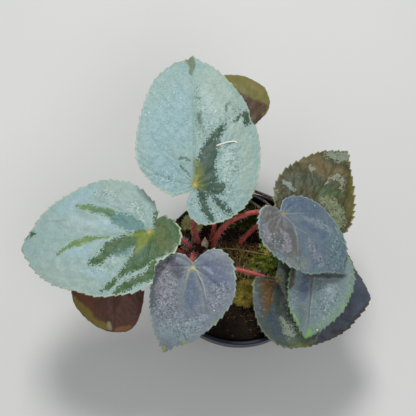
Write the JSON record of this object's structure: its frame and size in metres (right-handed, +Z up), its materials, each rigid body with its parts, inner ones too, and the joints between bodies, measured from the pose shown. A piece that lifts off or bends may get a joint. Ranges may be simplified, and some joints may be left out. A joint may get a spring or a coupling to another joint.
{
  "type": "potted begonia",
  "caption": "Potted creeping begonia with toothed, silvered, lopsided heart-shaped leaves on red hairy stems, in a plain round nursery pot of dark mossy soil.",
  "frame": {"origin": "centre of the pot's flat base", "axes": "+Z up out of the pot, -Y towards the front of the picture, +X to the right of the picture"},
  "size_m": [0.212, 0.1835, 0.1212],
  "materials": {
    "pot": "satin dark blue-violet moulded plastic",
    "soil": "dark moist peat",
    "rhizome": "rough red-brown stem",
    "petiole": "red stem with white hairs",
    "silver_blade": "silver blue-green leaf with dark green zones",
    "violet_blade": "purple-grey leaf with silver speckle and pale veins",
    "olive_blade": "olive leaf with silver patches",
    "russet_blade": "red-brown leaf with an olive edge",
    "stipule": "papery tan bract",
    "green_moss": "fresh green moss",
    "gold_moss": "golden sphagnum",
    "dry_stem": "dry bare stem",
    "dry_leaf": "brittle brown leaf",
    "seedling": "dark green seed leaf"
  },
  "bodies": {
    "root": {"pot": "pot", "soil": "soil", "rhizome": "rhizome", "blade_back": "silver_blade", "petiole_back": "petiole", "blade_left": "silver_blade", "petiole_left": "petiole", "blade_front": "violet_blade", "petiole_front": "petiole", "blade_right": "violet_blade", "petiole_right": "petiole", "blade_back_right": "olive_blade", "petiole_back_right": "petiole", "blade_front_right": "violet_blade", "petiole_front_right": "petiole", "blade_young": "violet_blade", "petiole_young": "petiole", "blade_low_right": "violet_blade", "petiole_low_right": "petiole", "blade_low_back": "russet_blade", "petiole_low_back": "petiole", "blade_low_left": "russet_blade", "petiole_low_left": "petiole", "stipule_pale": "stipule", "stipule_left": "stipule", "stipule_front": "stipule", "stipule_back": "stipule", "moss_green": "green_moss", "moss_gold": "gold_moss", "moss_left": "gold_moss", "moss_back": "green_moss", "dry_stalk_grey": "dry_stem", "dry_stalk_tan": "dry_stem", "dry_stalk_olive": "dry_stem", "dry_runner": "dry_stem", "dry_leaf": "dry_leaf", "seedling": "seedling"}
  },
  "joints": []
}
